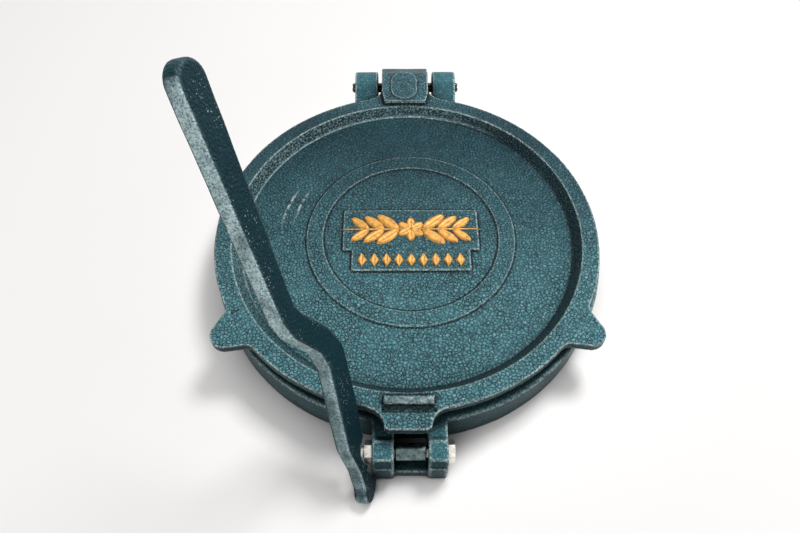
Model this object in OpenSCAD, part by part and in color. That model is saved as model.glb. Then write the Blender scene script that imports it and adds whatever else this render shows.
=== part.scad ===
// Cast-iron tortilla press: a round base, a hinged lid, a roller clevis at the front and a loose lever.
// Millimetres. X runs across the press, Y from the clevis at the front to the hinge at the back, Z up.
// The origin is the middle of the base's underside, in the plane of the table.

/* [Base plate] */
// Outer radius of the base plate
base_r = 111.9; // [107:0.1:120]
// Height of the base's pressing face above the table
base_h = 22.9; // [20:0.1:27]
// Thickness of the base's pressing plate
base_plate_t = 6; // [5:0.5:8]
// Thickness of the base's skirt at its lower edge
skirt_t = 5; // [4:0.5:7]
// How much thicker the skirt is where it meets the plate
skirt_draft = 1; // [0.5:0.5:2]
// Radius on the skirt's upper edge
base_edge_round = 1.6; // [1:0.1:2.5]
// Thickness of the ribs under the plate
rib_t = 4.5; // [3:0.5:6]
// How far the ribs reach down below the plate
rib_depth = 9; // [6:0.5:12]
// Radius of the hub in the middle of the underside
hub_r = 12; // [9:0.5:16]

/* [Lid plate] */
// How much smaller the lid's outer radius is than the base plate's
lid_setback = 1.9; // [1:0.1:3]
// Width of the lid's flat flange
flange_w = 9.8; // [8:0.1:12]
// Thickness of the lid's flange
flange_t = 5.5; // [4.5:0.1:7]
// Radius on the flange's edges
flange_edge_round = 1.3; // [0.8:0.1:2]
// Width of the dish's sloping wall, seen from above
wall_run = 4.3; // [3:0.1:6]
// Depth of the lid's dish below the flange
dish_depth = 6; // [4.5:0.1:8]
// Thickness of the lid's pressing plate
lid_plate_t = 5.5; // [5:0.1:8]
// Width of the step between the floor's radius and the pressing face's radius
press_step = 4.5; // [3:0.1:5]
// Gap between the two pressing faces when the press is closed
press_gap = 0.3; // [0.2:0.05:0.5]
// How far the lid sits to the left in the play of its hinge
lid_side_play = 1; // [0:0.1:1.5]

/* [Lid details] */
// Outer radius of the raised ring in the dish
ring_outer_r = 60.5; // [56:0.5:66]
// Width of the raised ring
ring_w = 9.4; // [6:0.2:12]
// Height of the raised ring
ring_h = 0.8; // [0.4:0.1:1.4]
// How far the ring sits to the right of the lid's middle
ring_shift = 2.4; // [0:0.1:4]
// Width of the raised panel in the ring
panel_w = 79; // [60:1:84]
// Depth of the panel's wide upper tier
panel_upper_d = 29; // [22:0.5:32]
// Depth of the panel's narrower lower tier
panel_lower_d = 14; // [10:0.5:16]
// How much the lower tier is set in at each side
panel_inset = 5.5; // [2:0.5:8]
// How far the panel's middle lies forward of the ring's middle
panel_forward = 3.5; // [0:0.1:5]
// Height of the panel above the dish's floor
panel_h = 1.2; // [0.8:0.1:1.8]
// Direction of a thumb lobe from the lid's middle, forward of straight across, in degrees
lobe_angle = 35.1; // [30:0.1:42]
// How far the middle of a thumb lobe's round end lies outside the flange
lobe_offset = 7; // [5:0.1:9]
// Radius of a thumb lobe's round end
lobe_r = 7.8; // [6:0.1:9]
// Angle between a thumb lobe's middle and the root of each of its sides, in degrees
lobe_spread = 7; // [5:0.5:9]
// Radius of the fillets between a thumb lobe and the flange
lobe_fillet_r = 6; // [3:0.5:8]
// Half width of the lid's nose at its front
nose_half_w = 11.6; // [9:0.1:14]
// How far the nose reaches out past the flange
nose_reach = 9.3; // [6:0.1:11]
// Radius of the nose's front corners
nose_corner_r = 3; // [2:0.1:5]
// Radius of the fillets between the nose and the flange
nose_fillet_r = 10; // [6:0.5:12]
// How far the nose and the tongue's boss sit to the left of the lid's middle
casting_shift = 0.6; // [0:0.1:1]
// Half width of the wear pad on the nose
pad_half_w = 12.6; // [10:0.1:14]
// Length of the wear pad from back to front
pad_len = 7.8; // [6:0.1:10]
// Distance from the dish's edge to the wear pad
pad_setback = 1; // [0.5:0.1:2]
// Height of the wear pad above the flange
pad_h = 2.6; // [1.5:0.1:3.5]
// Radius of the groove along the pad's front
groove_r = 2; // [1.5:0.1:2.6]
// Height of the groove's middle above the flange
groove_rise = 1.2; // [0.8:0.1:1.4]

/* [Hinge] */
// Distance from the skirt back to the hinge pin
pin_offset = 17.9; // [17:0.1:22]
// Height of the hinge pin above the base's pressing face
pin_rise = 1.1; // [0.5:0.1:3]
// Diameter of the slotted hinge pin
pin_d = 6.4; // [5:0.1:8]
// Wall of the slotted hinge pin
pin_wall = 1.3; // [0.9:0.1:1.6]
// Width of the slot along the hinge pin
pin_slot_w = 1.7; // [1:0.1:2.4]
// How far the pin sticks out past each hinge ear
pin_stick_out = 2.3; // [1:0.1:4]
// How far the hinge sits to the left of the base plate's middle
hinge_shift = 0.7; // [0:0.1:1.5]
// Turn of the pin's slot from straight up towards the front, in degrees
pin_slot_turn = 33; // [0:1:90]
// Radius of the base's hinge ears
ear_r = 10.5; // [9:0.1:12]
// Width of each hinge ear along the pin
ear_w = 15.6; // [12:0.1:18]
// Distance between the two hinge ears
ear_gap = 36.8; // [34:0.1:44]
// Width of the lid's tongue at the pin
tongue_w = 30.8; // [26:0.1:32]
// Width of the tongue's block at its front end
tongue_front_w = 26.4; // [22:0.1:30]
// Radius of the tongue's barrel around the pin
tongue_r = 11; // [9.5:0.1:12]
// Height of the tongue's block above the flange
tongue_rise = 3.4; // [2:0.1:5]
// How far inside the flange's edge the tongue's underside starts to fall towards the pin
tongue_root = 4; // [2:0.1:5]
// Distance from the pin forward to the end of the tongue's flat top
tongue_top_end = 1.5; // [0:0.1:3]
// Distance from the pin back to the foot of the tongue's rear slope
tongue_slope_end = 8.2; // [8:0.1:9]
// Height lost over the tongue's rear slope
tongue_slope_drop = 4.4; // [3.5:0.1:5]
// Radius of the fillets between the tongue and the flange
tongue_fillet_r = 10; // [6:0.5:10]
// Radial clearance between the pin and the lid's bore
pin_clearance = 0.1; // [0.03:0.01:0.1]
// Width of the plain oval boss on the tongue
boss_w = 17.2; // [12:0.1:20]
// Length of the oval boss
boss_len = 25.8; // [20:0.1:26]
// Distance from the pin forward to the oval boss's middle
boss_offset = 13.4; // [13:0.1:14]
// Height of the plain oval boss on the tongue
boss_h = 0.7; // [0.4:0.1:1.2]

/* [Clevis] */
// Distance from the skirt forward to the bolt's axis
bolt_offset = 11.9; // [11:0.1:16]
// Height of the bolt's axis above the table
bolt_z = 16; // [14:0.1:18]
// Thickness of the left clevis arm
left_arm_t = 11; // [8:0.1:13]
// Thickness of the right clevis arm
right_arm_t = 9.8; // [8:0.1:13]
// Gap between the two clevis arms
arm_gap = 17; // [14:0.1:20]
// Half width across the flats of an arm's six-sided end
arm_flat = 8.3; // [8:0.1:10]
// Radius on the arms' upright edges
arm_edge_r = 2; // [1:0.1:3]
// How far the foot's front face lies behind the six-sided end's front corner
foot_setback = 0.1; // [0:0.1:2]
// Radius on the upright edges of the arms' feet
foot_edge_r = 1.2; // [0.4:0.1:2]
// Turn of the arms' six-sided ends about the bolt, in degrees
arm_tilt = -15; // [-25:1:0]
// Height of the web that ties the arms at the front
web_h = 8; // [5:0.1:10]
// Thickness of the web
web_t = 7; // [5:0.1:9]
// How far the web lies behind the arms' front faces
web_setback = 1.5; // [0.5:0.1:3]
// Diameter of the bolt's shank
bolt_d = 6; // [5:0.1:7]
// Width across the flats of the bolt's head and the nut
hex_af = 10; // [8.5:0.1:11]
// Turn of the bolt's head and the nut about the bolt, in degrees
bolt_turn = 15; // [0:1:30]
// Height of the bolt's head
bolt_head_h = 3.5; // [3:0.1:5]
// Height of the nut
nut_h = 3.8; // [3:0.1:5]
// How far the bolt sticks out past the nut
bolt_tip = 1.6; // [0.5:0.1:3]
// Outer diameter of the roller
roller_d = 8.6; // [8:0.1:10]
// Gap between the roller and the left arm
roller_left_gap = 0.5; // [0.2:0.1:1]
// Gap between the roller and the right arm
roller_right_gap = 1.1; // [0.2:0.1:1.5]
// Radial clearance between the bolt and the roller's bore
roller_clearance = 0.1; // [0.03:0.01:0.1]

/* [Lever] */
// Thickness of the lever bar
lever_t = 7.6; // [6:0.1:9]
// Radius on the lever's edges
lever_edge = 1.6; // [0.8:0.1:2.2]
// Gap between the lever's flat and the clevis arm it leans on
lever_gap = 0.3; // [0.2:0.05:0.6]
// Turn of the resting lever about the upright, in degrees
lever_turn = -10; // [-14:0.5:-6]
// Lean of the resting lever to the left, in degrees
lever_lean = 20; // [17:0.5:24]
// Height of the handle's round end above the bolt, along the lever
handle_up = 189.3; // [175:0.1:205]
// Setback of the handle's round end from the bolt, along the lever
handle_back = 58; // [52:0.1:63]
// Half width of the lever's round upper end
handle_end_r = 8.2; // [6.5:0.1:9]
// Half width of the lever's arm, at its widest
lever_arm_r = 9; // [7.5:0.1:10]
// Height of the lever's foot above the table
lever_foot_z = 0.2; // [0.1:0.1:0.5]
// Clearance of the lever's notch around the nut
notch_clearance = 0.8; // [0.4:0.1:1.2]
// Length of the shallow recess that runs up from the notch, for the bolt's end
notch_recess = 5; // [2:0.1:6]

/* [Hidden] */
$fn = 96;

paint = "#2f5a63";
zinc = "#d8d6cc";
bare_steel = "#7d7f7c";
pin_steel = "#8b8378";

// How far shapes that are joined run into each other, and how far cutters run past what they cut
sink = 1;
far = 60;
tiny = 0.01;

// Small bevels and rounds
press_bevel = 1;
panel_corner = 1.5;
pad_bevel = 1.5;
tongue_bevel = 1;
pin_chamfer = 0.6;
hex_chamfer = 1.3;
thread_chamfer = 0.8;
roller_chamfer = 0.4;

// Heights of the lid, stacked up from the base's pressing face
press_z = base_h + press_gap;
floor_z = press_z + lid_plate_t;
flange_top = floor_z + dish_depth;
flange_bottom = flange_top - flange_t;
plate_under_z = base_h - base_plate_t;

// Radii of the lid, stepped in from the base plate's edge
lid_r = base_r - lid_setback;
rim_inner_r = lid_r - flange_w;
dish_r = rim_inner_r - wall_run;
press_face_r = dish_r + press_step;

// Axes of the hinge and the clevis
pin_y = base_r + pin_offset;
pin_z = base_h + pin_rise;
bolt_y = -(base_r + bolt_offset);
pad_back_y = -(rim_inner_r + pad_setback);
pad_front_y = pad_back_y - pad_len;
pin_len = ear_gap + 2 * ear_w + 2 * pin_stick_out;
left_x = -arm_gap / 2 - left_arm_t;
right_x = arm_gap / 2 + right_arm_t;
bolt_tip_x = left_x - nut_h - bolt_tip;
hex_r = hex_af / 2 / cos(30);
arm_hex_r = arm_flat / cos(30);
arm_front_y = bolt_y - arm_hex_r * cos(arm_tilt);
foot_front_y = arm_front_y + foot_setback;

// A point on a circle round c, and the points where lines from p touch that circle
function on_circle(c, r, a) = [c[0] + r * cos(a), c[1] + r * sin(a)];
function touch(p, c, r, side) =
    let (d = norm(p - c), a = atan2(p[1] - c[1], p[0] - c[0]))
    on_circle(c, r, a + side * acos(r / d));

// Puts a side view, drawn as [Y, Z], into the YZ plane and gives it a width about x
module across(x, w) translate([x - w / 2, 0, 0]) rotate([90, 0, 90]) linear_extrude(w) children();

// A cylinder along X through a point of the YZ plane
module rod(y, z, r, x0, x1) translate([x0, y, z]) rotate([0, 90, 0]) cylinder(r = r, h = x1 - x0);

// The concave fillet where a straight side at x = a meets a disc of radius r, seen from above
module side_fillet(a, r, f) {
    c = [a + f, sqrt(pow(r + f, 2) - pow(a + f, 2))];
    on_disc = c * r / (r + f);
    inside = on_disc * (1 - sink / r);
    difference() {
        polygon([[a - sink, c[1]], c, on_disc, inside, [a - sink, inside[1]]]);
        translate(c) circle(f);
    }
}

// ---------------------------------------------------------------- base plate

// The base's cross-section: pressing plate, rounded edge and drafted skirt
module base_section() {
    e = base_edge_round;
    difference() {
        union() {
            square([base_r - e, base_h]);
            square([base_r, base_h - e]);
            translate([base_r - e, base_h - e]) circle(e);
        }
        polygon([[-sink, -sink], [base_r - skirt_t, -sink], [base_r - skirt_t, 0],
                 [base_r - skirt_t - skirt_draft, plate_under_z], [-sink, plate_under_z]]);
    }
}

// Ribs in a cross under the plate, and the hub that carries its middle on the table
module underside_ribs() {
    intersection() {
        translate([0, 0, plate_under_z - rib_depth]) cylinder(r = base_r - skirt_t, h = rib_depth + tiny);
        for (a = [45, 135])
            rotate([0, 0, a]) translate([-base_r, -rib_t / 2, 0]) cube([2 * base_r, rib_t, base_h - sink]);
    }
    cylinder(r = hub_r, h = plate_under_z + tiny);
}

// A block from the middle forward to a front face, the upright edges there rounded
module rounded_block(x0, x1, front, h, r) translate([x0, front, 0]) linear_extrude(h)
    offset(r) offset(delta = -r) square([x1 - x0, -front]);

// Side view of a clevis arm: a bar flush with the plate and a six-sided end
module arm_side() {
    low = bolt_z - arm_flat / 2;
    translate([bolt_y, bolt_z]) rotate(arm_tilt) rotate(30) circle(arm_hex_r, $fn = 6);
    translate([bolt_y, low]) square([skirt_t - base_r - bolt_y, base_h - low]);
}

// An arm between x0 and x1, with a foot down to the table under its six-sided end
module clevis_arm(x0, x1) {
    intersection() {
        across((x0 + x1) / 2, x1 - x0) arm_side();
        rounded_block(x0, x1, arm_front_y, 2 * base_h, arm_edge_r);
    }
    difference() {
        rounded_block(x0, x1, foot_front_y, bolt_z, foot_edge_r);
        translate([0, 0, -sink]) cylinder(r = base_r - skirt_t, h = base_h);
    }
}

// The web that ties the arms together at the front, below the roller
module clevis_web() {
    translate([-arm_gap / 2 - sink, foot_front_y + web_setback, 0])
        cube([arm_gap + 2 * sink, web_t, web_h]);
}

// Side view of a hinge ear: a barrel round the pin with a bracket down to the skirt
module ear_side() {
    c = [pin_y, pin_z];
    top = [base_r - skirt_t, base_h - base_edge_round];
    foot = [base_r - skirt_t, base_edge_round];
    translate(c) circle(ear_r);
    polygon([top, foot, touch(foot, c, ear_r, 1), c, touch(top, c, ear_r, -1)]);
}

module base_plate() color(paint) difference() {
    union() {
        rotate_extrude() base_section();
        underside_ribs();
        clevis_arm(left_x, -arm_gap / 2);
        clevis_arm(arm_gap / 2, right_x);
        for (side = [-1, 1]) across(side * (ear_gap + ear_w) / 2 - hinge_shift, ear_w) ear_side();
        clevis_web();
    }
    rod(bolt_y, bolt_z, bolt_d / 2 + tiny, left_x - sink, right_x + sink);
    rod(pin_y, pin_z, pin_d / 2 + tiny, -hinge_shift - pin_len / 2, pin_len / 2 - hinge_shift);
}

// ----------------------------------------------------------------- lid plate

// The lid's cross-section: a dish of even wall with a rounded flange
module lid_section() {
    e = flange_edge_round;
    polygon([[0, press_z], [press_face_r - press_bevel, press_z], [press_face_r, press_z + press_bevel],
             [press_face_r + press_step, flange_bottom], [lid_r - e, flange_bottom], [lid_r - e, flange_top],
             [rim_inner_r, flange_top], [dish_r, floor_z], [0, floor_z]]);
    translate([lid_r - e - sink, flange_bottom + e]) square([e + sink, flange_t - 2 * e]);
    translate([lid_r - e, flange_bottom + e]) circle(e);
    translate([lid_r - e, flange_top - e]) circle(e);
}

// The raised ring in the dish
module lid_ring() translate([ring_shift, 0, floor_z - sink]) linear_extrude(sink + ring_h) difference() {
    circle(ring_outer_r);
    circle(ring_outer_r - ring_w);
}

// The two-tier panel in the ring, left plain
module lid_panel() {
    front = -(panel_upper_d + panel_lower_d) / 2;
    translate([ring_shift, -panel_forward, floor_z - sink]) linear_extrude(sink + panel_h)
        offset(panel_corner) offset(delta = -panel_corner) union() {
            translate([-panel_w / 2, front + panel_lower_d]) square([panel_w, panel_upper_d]);
            translate([panel_inset - panel_w / 2, front])
                square([panel_w - 2 * panel_inset, panel_lower_d + sink]);
        }
}

// A thumb lobe: a round end with two straight sides that flow into the flange
module thumb_lobe(side) {
    back = on_circle([0, 0], lid_r - sink, lobe_spread - lobe_angle);
    front = on_circle([0, 0], lid_r - sink, -lobe_spread - lobe_angle);
    mirror([side < 0 ? 1 : 0, 0, 0]) translate([0, 0, flange_bottom]) linear_extrude(flange_t)
        difference() {
            offset(-lobe_fillet_r) offset(lobe_fillet_r) {
                hull() {
                    translate(on_circle([0, 0], lid_r + lobe_offset, -lobe_angle)) circle(lobe_r);
                    polygon([back, front, [0, 0]]);
                }
                intersection() {
                    circle(lid_r - tiny);
                    polygon([[0, 0], for (a = [-24 : 12 : 24])
                        on_circle([0, 0], lid_r + far, a - lobe_angle)]);
                }
            }
            circle(rim_inner_r + flange_edge_round);
        }
}

// The nose that covers the clevis, with its side fillets
module nose_plan() {
    tip = lid_r + nose_reach;
    c = nose_corner_r;
    offset(c) offset(delta = -c) translate([-nose_half_w, rim_inner_r])
        square([2 * nose_half_w, tip - rim_inner_r]);
    translate([-nose_half_w, rim_inner_r]) square([2 * nose_half_w, nose_reach]);
    for (side = [0, 1]) mirror([side, 0]) side_fillet(nose_half_w, lid_r, nose_fillet_r);
}

module nose() translate([-casting_shift, 0, flange_bottom])
    linear_extrude(flange_t) mirror([0, 1]) nose_plan();

// The wear pad across the nose, with a sloping back
module wear_pad() {
    across(0, 2 * pad_half_w) polygon([[pad_back_y, flange_top - sink], [pad_back_y, flange_top],
             [pad_back_y - pad_bevel, flange_top + pad_h], [pad_front_y, flange_top + pad_h],
             [pad_front_y, flange_top - sink]]);
}

// Side view of the tongue: a block on the flange, a sloping back and a barrel round the pin
module tongue_side() {
    top = flange_top + tongue_rise;
    front = rim_inner_r + sink;
    c = [pin_y, pin_z];
    slope_end = [pin_y + tongue_slope_end, top - tongue_slope_drop];
    under = [lid_r - tongue_root, flange_bottom];
    translate(c) circle(tongue_r);
    polygon([[front, flange_bottom], [front, top - tongue_bevel], [front + tongue_bevel, top],
             [pin_y - tongue_top_end, top], slope_end, touch(slope_end, c, tongue_r, -1), c,
             touch(under, c, tongue_r, 1), under]);
}

// The tongue seen from above: narrower at its front end
module tongue_plan() {
    back = pin_y + far;
    for (side = [0, 1]) mirror([side, 0])
        polygon([[0, rim_inner_r], [tongue_front_w / 2, rim_inner_r], [tongue_w / 2, lid_r + sink],
                 [tongue_w / 2, back], [0, back]]);
}

// The plain oval boss on top of the tongue
module tongue_boss() {
    straight = boss_len - boss_w;
    translate([-casting_shift, pin_y - boss_offset, flange_top + tongue_rise - sink])
        linear_extrude(sink + boss_h) {
            for (end = [-1, 1]) translate([0, end * straight / 2]) circle(boss_w / 2);
            square([boss_w, straight], center = true);
        }
}

module tongue() {
    intersection() {
        across(0, tongue_w) tongue_side();
        linear_extrude(2 * flange_top) tongue_plan();
    }
    translate([0, 0, flange_bottom]) linear_extrude(flange_t)
        for (side = [0, 1]) mirror([side, 0]) side_fillet(tongue_w / 2, lid_r, tongue_fillet_r);
    tongue_boss();
}

module lid_plate() color(paint) translate([-lid_side_play, 0, 0]) difference() {
    union() {
        rotate_extrude() lid_section();
        lid_ring();
        lid_panel();
        for (side = [-1, 1]) thumb_lobe(side);
        nose();
        wear_pad();
        tongue();
    }
    rod(pin_y, pin_z, pin_d / 2 + pin_clearance, -tongue_w, tongue_w);
    rod(pad_front_y, flange_top + groove_rise, groove_r, -pad_half_w - sink, pad_half_w + sink);
}

// --------------------------------------------------------------------- lever

// Foot of the straight handle, above the crank: back and up from the bolt's axis
handle_foot = [20.6, 101];

// Stations down the lever in its own plane: [back, up, half width], from the bolt's axis
lever_path = [
    [handle_back, handle_up, handle_end_r],
    [(handle_back + handle_foot.x) / 2, (handle_up + handle_foot.y) / 2, 7.4],
    [handle_foot.x, handle_foot.y, 6.2], [20, 92, 6.4], [25.8, 69, 7],
    [24.8, 55, 8.6], [10.2, 34, lever_arm_r], [-1, 19, 8.4], [-7.2, 4.5, 6.2], [-12.6, -7.3, 6.8],
    [-17.6, -9.4, 5.2]
];

// A puck with rounded edges, its flat front face at z = 0
module lever_puck(r) translate([0, 0, -lever_t / 2]) rotate_extrude($fn = 32) {
    e = lever_edge;
    translate([0, -lever_t / 2]) square([r - e, lever_t]);
    intersection() {
        for (z = [-1, 1]) translate([r - e, z * (lever_t / 2 - e)]) circle(e, $fn = 16);
        translate([0, -lever_t]) square([r, 2 * lever_t]);
    }
    translate([0, -lever_t / 2 + e]) square([r, lever_t - 2 * e]);
}

// The bar, run through its stations
module lever_bar() for (i = [0 : len(lever_path) - 2]) hull() for (s = [lever_path[i], lever_path[i + 1]])
    translate([s[0], s[1], 0]) lever_puck(s[2]);

// The space that the nut, the bolt's end and the clevis arm need: round above, open below, with a
// shallow recess that runs up from it
module lever_notch() {
    r = hex_r + notch_clearance;
    front = arm_front_y - lever_gap;
    rod(bolt_y, bolt_z, r, left_x - far, 0);
    hull() for (rise = [0, notch_recess]) rod(bolt_y, bolt_z + rise, r, bolt_tip_x - notch_clearance, 0);
    translate([left_x - far, front, -sink]) cube([far - left_x, bolt_y + r - front, bolt_z + sink]);
}

module lever() color(paint) difference() {
    translate([left_x - lever_gap, bolt_y, bolt_z])
        rotate([0, 0, lever_turn]) rotate([0, -lever_lean, 0]) rotate([90, 0, 90]) lever_bar();
    lever_notch();
    translate([left_x, bolt_y, lever_foot_z - far]) cube([2 * far, 2 * far, 2 * far], center = true);
}

// ------------------------------------------------------- pin, bolt and roller

// A slotted spring pin with chamfered ends, its slot turned up and forward
module hinge_pin() color(pin_steel) translate([-hinge_shift, pin_y, pin_z])
    rotate([pin_slot_turn, 0, 0]) rotate([0, 90, 0]) difference() {
        rotate_extrude() {
            r = pin_d / 2;
            half = pin_len / 2;
            c = pin_chamfer;
            polygon([[r - pin_wall, -half], [r - c, -half], [r, 2 * c - half], [r, half - 2 * c],
                     [r - c, half], [r - pin_wall, half]]);
        }
        translate([-pin_d, -pin_slot_w / 2, -pin_len]) cube([pin_d, pin_slot_w, 2 * pin_len]);
    }

// A six-sided block with the corners of its outer face turned off
module hex_block(h) intersection() {
    rotate(30) cylinder(r = hex_r, h = h, $fn = 6);
    rotate_extrude()
        polygon([[0, 0], [hex_r + sink, 0], [hex_r + sink, h - hex_chamfer], [hex_af / 2, h], [0, h]]);
}

module clevis_bolt() color(zinc) translate([0, bolt_y, bolt_z]) {
    r = bolt_d / 2;
    c = thread_chamfer;
    translate([right_x, 0, 0]) rotate([0, 90, 0]) rotate(bolt_turn) hex_block(bolt_head_h);
    rotate([0, 90, 0]) rotate_extrude()
        polygon([[0, bolt_tip_x], [r - c, bolt_tip_x], [r, bolt_tip_x + c], [r, right_x + sink],
                 [0, right_x + sink]]);
}

module clevis_nut() color(zinc) translate([left_x, bolt_y, bolt_z]) rotate([0, -90, 0]) difference() {
    rotate(-bolt_turn) hex_block(nut_h);
    translate([0, 0, -sink]) cylinder(r = bolt_d / 2 + tiny, h = nut_h + 2 * sink);
}

module roller_sleeve() color(bare_steel) {
    r = roller_d / 2;
    bore = bolt_d / 2 + roller_clearance;
    len = arm_gap - roller_left_gap - roller_right_gap;
    c = roller_chamfer;
    translate([roller_left_gap - arm_gap / 2, bolt_y, bolt_z]) rotate([0, 90, 0]) rotate_extrude()
        polygon([[bore, 0], [r - c, 0], [r, c], [r, len - c], [r - c, len], [bore, len]]);
}

base_plate();
lid_plate();
lever();
hinge_pin();
clevis_bolt();
clevis_nut();
roller_sleeve();
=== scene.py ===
"""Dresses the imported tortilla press: cast surfaces, enamel, bare and plated metal, a gilded sprig and a studio."""
import math

import bmesh
import bpy
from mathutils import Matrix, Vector, noise
from mathutils.bvhtree import BVHTree


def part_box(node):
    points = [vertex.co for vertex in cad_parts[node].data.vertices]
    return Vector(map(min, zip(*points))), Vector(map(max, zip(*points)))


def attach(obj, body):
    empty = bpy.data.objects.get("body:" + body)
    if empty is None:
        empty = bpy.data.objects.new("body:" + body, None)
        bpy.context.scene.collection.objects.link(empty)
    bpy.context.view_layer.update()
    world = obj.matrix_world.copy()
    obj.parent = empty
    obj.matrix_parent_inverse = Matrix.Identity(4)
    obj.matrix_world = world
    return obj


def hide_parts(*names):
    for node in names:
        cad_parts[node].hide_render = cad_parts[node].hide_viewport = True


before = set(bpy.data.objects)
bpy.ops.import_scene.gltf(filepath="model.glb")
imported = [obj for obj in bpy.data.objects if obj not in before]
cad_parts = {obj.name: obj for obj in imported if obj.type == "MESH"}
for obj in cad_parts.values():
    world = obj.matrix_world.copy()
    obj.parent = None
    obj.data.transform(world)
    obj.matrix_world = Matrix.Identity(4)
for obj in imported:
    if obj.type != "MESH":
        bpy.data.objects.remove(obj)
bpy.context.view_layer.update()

bl_info = {
    "name": "Tortilla Press Looks",
    "version": (1, 0, 0),
    "blender": (4, 5, 0),
    "location": "View3D > Sidebar > Press",
    "description": "Gives the cast-iron tortilla press its surfaces, small metal parts and studio",
    "category": "Object",
}

MM = 0.001
WELD = 0.002 * MM  # corners of a CAD mesh that are closer than this are one point

# Where the press's surfaces change, in the press's frame: x to the right, y back to the hinge, z up.
WALL_FOOT = 95.5 * MM  # radius at which the dish's wall leaves its floor
WALL_CREST = 100.8 * MM  # radius at which the dish's wall has reached the flange
RING_CENTRE_X = 2.4 * MM  # middle of the raised ring
MARK_RADII = (77.1 * MM, 70.6 * MM)  # mould marks round the ring's middle
PAD_LOW = Vector((-13.3, -109.6, 36.6)) * MM  # lowest corner of the rubbed wear pad
PAD_HIGH = Vector((11.3, -102.5, 38.5)) * MM  # highest corner of the rubbed wear pad
PAD_FRAY = Vector((3.0, 2.4, 0.5)) * MM  # how far the rubbed sides are frayed in and out
DARKENS_Y = (-50 * MM, 70 * MM)  # painted shade: the enamel is drawn darker over this stretch of the plate, towards the hinge
LIGHTENS_Y = (90 * MM, 110 * MM)  # and less dark again over this one, behind the dish
NOSE_Y = (-112 * MM, -122 * MM)  # and darker on the nose, over this stretch
LEVER_FOOT_Z = (20 * MM, 70 * MM)  # painted shade makes the lever's sides darker towards the foot, up to here
LEVER_FILM_Z = (20 * MM, 110 * MM)  # the pale film on the lever's edges, partly wear and partly painted highlight, grows over this height
BACK_LEFT = (-7.0, 7.0, 0.0)  # times a place, this grows from 0 to about 1 at the dish's wall, behind and left
FRONT_RIGHT = (0.7, -0.7, 0.0)  # painted shade darkens sides that face away from here, as if lit from the front right

# Pointiness over which a line fades in: 0.5 is flat, less is a hollow and more is a corner.
HOLLOW = (0.478, 0.494)
CORNER = (0.507, 0.526)
SHARP_CORNER = (0.535, 0.56)


def linear(code):
    """The linear RGBA of an sRGB hex colour such as #2f5a63."""
    parts = [int(code[i : i + 2], 16) / 255 for i in (1, 3, 5)]
    return [*(v / 12.92 if v <= 0.04045 else ((v + 0.055) / 1.055) ** 2.4 for v in parts), 1.0]


# ------------------------------------------------------------------ properties


def length(name, description, millimetres):
    """A size in metres whose default is given in millimetres."""
    return bpy.props.FloatProperty(
        name=name, description=description, default=millimetres * MM, unit="LENGTH", precision=5
    )


def colour(name, description, code):
    """A linear colour whose default is given as an sRGB hex code."""
    return bpy.props.FloatVectorProperty(
        name=name, description=description, default=linear(code), size=4, subtype="COLOR", min=0, max=1
    )


def amount(name, description, value, **more):
    """A number from 0 up, with a unit, a subtype or an upper limit where one fits."""
    return bpy.props.FloatProperty(name=name, description=description, default=value, min=0, precision=3, **more)


def share(name, description, value):
    """A share from 0 to 1."""
    return amount(name, description, value, max=1, subtype="FACTOR")


class PressCasting(bpy.types.PropertyGroup):
    """How the sand castings are rounded and roughened."""

    plate_grid: length("Plate grid", "Mesh spacing of the base casting", 0.7)
    lid_grid: length("Lid grid", "Mesh spacing of the lid casting", 0.5)
    lever_grid: length("Lever grid", "Mesh spacing of the lever casting", 0.55)
    draft_grid: length("Draft grid", "Mesh spacing of every casting in a quick look", 1.3)
    soften_steps: bpy.props.IntProperty(
        name="Soften steps", description="How often the castings' edges are rubbed down", default=2, min=0
    )
    swell_size: length("Swell size", "Width of the slow swells that the sand mould left", 14)
    swell_height: length("Swell height", "Height of the slow swells", 0.16)
    lump_size: length("Lump size", "Width of the small lumps in the cast skin", 3.5)
    lump_height: length("Lump height", "Height of the small lumps", 0.03)


class PressEnamel(bpy.types.PropertyGroup):
    """The teal enamel on the castings."""

    body: colour("Enamel", "Colour of the enamel on the crowns of its grain", "#5c949c")
    # The pooled colour also paints shade: towards the hinge and on the lever's broad sides.
    pooled_and_shade: colour("Pooled enamel", "Colour where the enamel lies thick between the grains", "#103540")
    # The crack colour also paints shade on steep sides, hollows, nooks and sides that face away from the light.
    crack_and_shade: colour("Cracks", "Colour of the lines between the grains and of deep corners", "#08191e")
    rust: colour("Rust bloom", "Brown that shows faintly through thin enamel", "#4d4640")
    # This pale colour is partly dust and rubbed wear, partly painted highlight: glints, outward corners and the
    # dish's wall.
    dust_and_sheen: colour("Rubbed corners", "Colour of corners and specks that are rubbed pale", "#a9bcbb")
    # The lever's pale film is partly rubbed wear and partly painted highlight.
    rubbed: colour("Rubbed film", "Colour of the thin film left on the lever's edges", "#d4ebed")
    cell_size: length("Cell size", "Width of a cell of the crackled enamel", 1.9)
    grain_size: length("Grain size", "Width of the sand grain under the enamel", 1.1)
    cell_depth: length("Cell depth", "Depth of the lines between the cells", 0.45)
    grain_depth: length("Grain depth", "Depth of the sand grain", 0.2)
    # Painted shade: how much darker the enamel is drawn towards the hinge.
    shaded: share("Thicker behind", "How much darker the enamel is towards the hinge, where it is thicker", 0.85)
    # Painted shade: nooks are drawn dark within this reach.
    nook: length("Nook reach", "How near another surface has to be for dirt and thick enamel to darken a nook", 11)
    roughness: share("Roughness", "Roughness of the enamel on average", 0.32)
    shine: share("Shine", "How much the enamel mirrors, 0.5 being plain glass", 0.15)


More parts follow.
